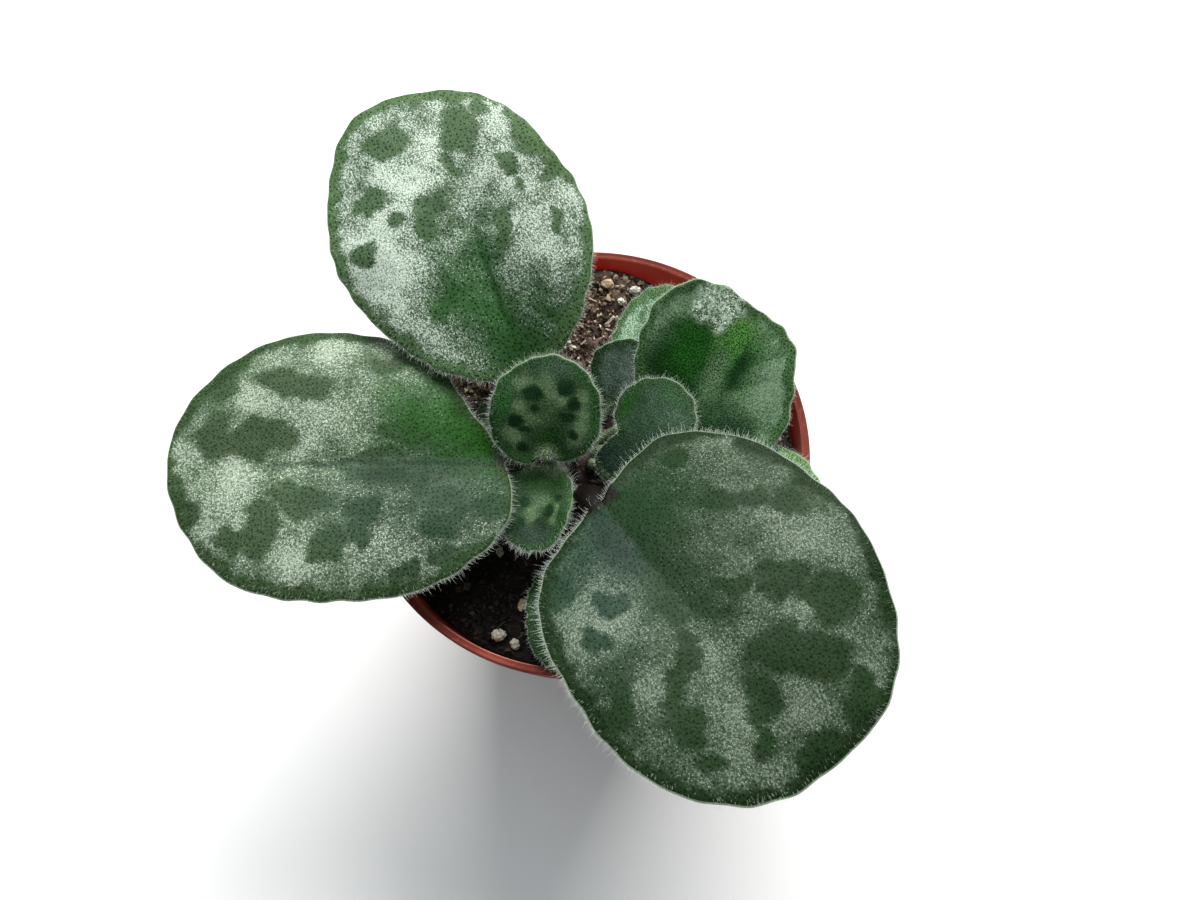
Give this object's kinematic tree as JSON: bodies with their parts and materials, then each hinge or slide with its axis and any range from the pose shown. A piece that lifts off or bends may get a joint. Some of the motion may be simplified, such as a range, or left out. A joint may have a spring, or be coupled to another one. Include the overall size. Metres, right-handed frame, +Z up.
{
  "type": "potted primulina house plant",
  "caption": "House plant: a flat rosette of thick, round, hairy leaves with silver mottling, rooted in a small terracotta-coloured plastic nursery pot.",
  "frame": {"origin": "middle of the flat pad under the pot, level with its foot ring", "axes": "+Z up out of the pot; the leaves are named as seen from the front, which is -Y, with +X to the right"},
  "size_m": [0.14, 0.1485, 0.1167],
  "materials": {
    "pot_plastic": "satin",
    "potting_mix": "matte",
    "stem": "matte",
    "leaf_silver": "matte",
    "leaf_glossy": "satin",
    "leaf_young": "matte",
    "leaf_old": "matte",
    "perlite": "matte",
    "bark": "matte"
  },
  "bodies": {
    "root": {"nursery_pot": "pot_plastic", "potting_mix": "potting_mix", "crown_stem": "stem", "leaf_back_left": "leaf_silver", "leaf_left": "leaf_silver", "leaf_front_right": "leaf_silver", "leaf_cupped_right": "leaf_glossy", "leaf_centre_upper": "leaf_young", "leaf_centre_lower": "leaf_young", "leaf_wavy_right": "leaf_young", "leaf_low_back": "leaf_old", "leaf_folded_small": "leaf_old", "leaf_low_right": "leaf_old", "leaf_low_front": "leaf_old", "leaf_low_left": "leaf_old", "perlite_front_large": "perlite", "perlite_front_small": "perlite", "perlite_middle": "perlite", "perlite_right": "perlite", "perlite_back": "perlite", "perlite_back_small": "perlite", "bark_chip_back": "bark", "bark_chip_front": "bark"}
  },
  "joints": []
}
